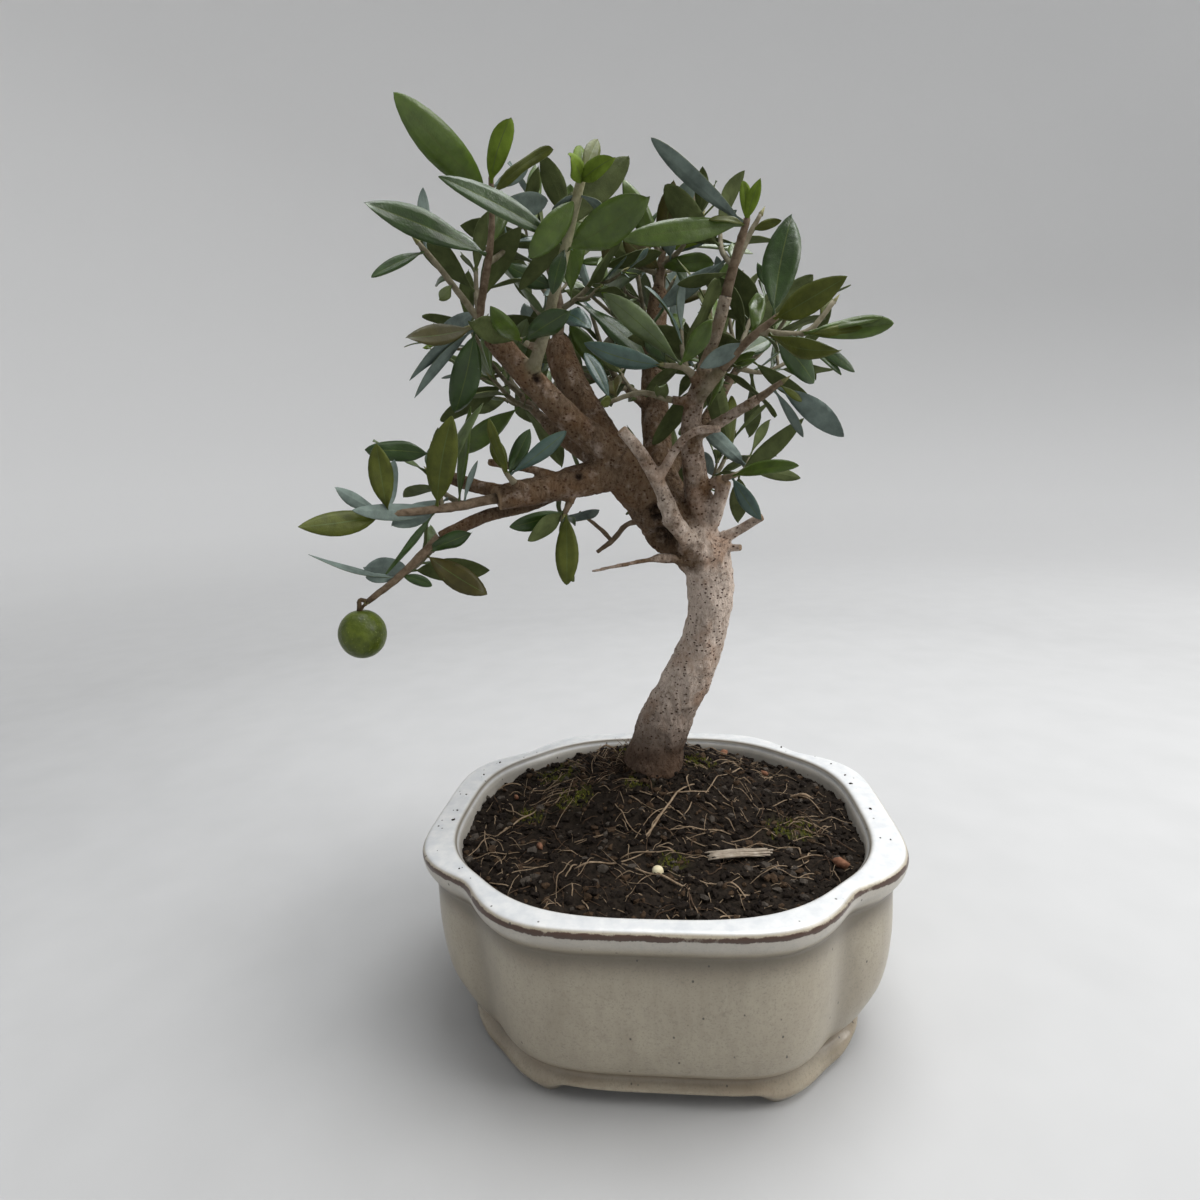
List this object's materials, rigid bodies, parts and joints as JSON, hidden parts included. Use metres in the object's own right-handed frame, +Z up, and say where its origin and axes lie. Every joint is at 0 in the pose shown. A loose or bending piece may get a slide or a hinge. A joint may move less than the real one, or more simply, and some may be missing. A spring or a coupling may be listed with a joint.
{
  "type": "potted olive bonsai tree",
  "caption": "Small olive tree trained as a bonsai, with a leaning trunk, cut boughs, open leafy crown and one olive, in a shallow glazed pot with lobed sides.",
  "frame": {"origin": "on the surface the pot stands on, under the middle of the whole plant's box", "axes": "+Z up, +X to the right seen from the front, +Y away from the front"},
  "size_m": [0.2072, 0.198, 0.3275],
  "materials": {
    "glaze": "glossy cream glaze, broken brown on the rim",
    "soil": "damp dark potting soil with moss and fine roots",
    "bark": "rough grey-brown bark",
    "foliage": "leathery leaves, green above and silvery below"
  },
  "bodies": {
    "root": {"pot": "glaze", "soil": "soil", "trunk": "bark", "bough_main_left": "bark", "bough_upper_left": "bark", "bough_upper_middle": "bark", "bough_cut_left": "bark", "stub_dead": "bark", "bough_leader": "bark", "bough_right": "bark", "shoot_right": "bark", "stem_front": "bark", "stub_fork": "bark", "stub_top": "bark", "stub_side": "bark", "stub_small": "bark", "twig_bare": "bark", "bough_fruit": "bark", "stub_cut_left": "bark", "shoot_front": "bark", "bough_back_left": "bark", "bough_back_right": "bark", "bough_back_high": "bark", "bough_right_low": "bark", "shoot_side": "bark", "spur_under": "bark", "spur_top": "bark", "bough_back_low": "bark", "spur_inner": "bark", "spur_front": "bark", "spur_left": "bark", "spur_shoot": "bark", "spur_low": "bark", "spur_middle": "bark", "leaves_upper_left": "foliage", "leaves_front": "foliage", "leaves_right_top": "foliage", "leaves_right": "foliage", "leaves_right_low": "foliage", "leaves_left": "foliage", "leaves_fruit": "foliage", "leaves_under": "foliage", "leaves_centre": "foliage", "leaves_low": "foliage", "leaves_inner_front": "foliage", "leaves_knuckle": "foliage", "leaves_shoot": "foliage", "leaves_upper_middle": "foliage", "leaves_leader": "foliage", "leaves_back_left": "foliage", "leaves_back_right": "foliage", "leaves_back_high": "foliage", "leaves_middle": "foliage", "leaves_back_low": "foliage", "leaves_inner_right": "foliage"}
  },
  "joints": []
}
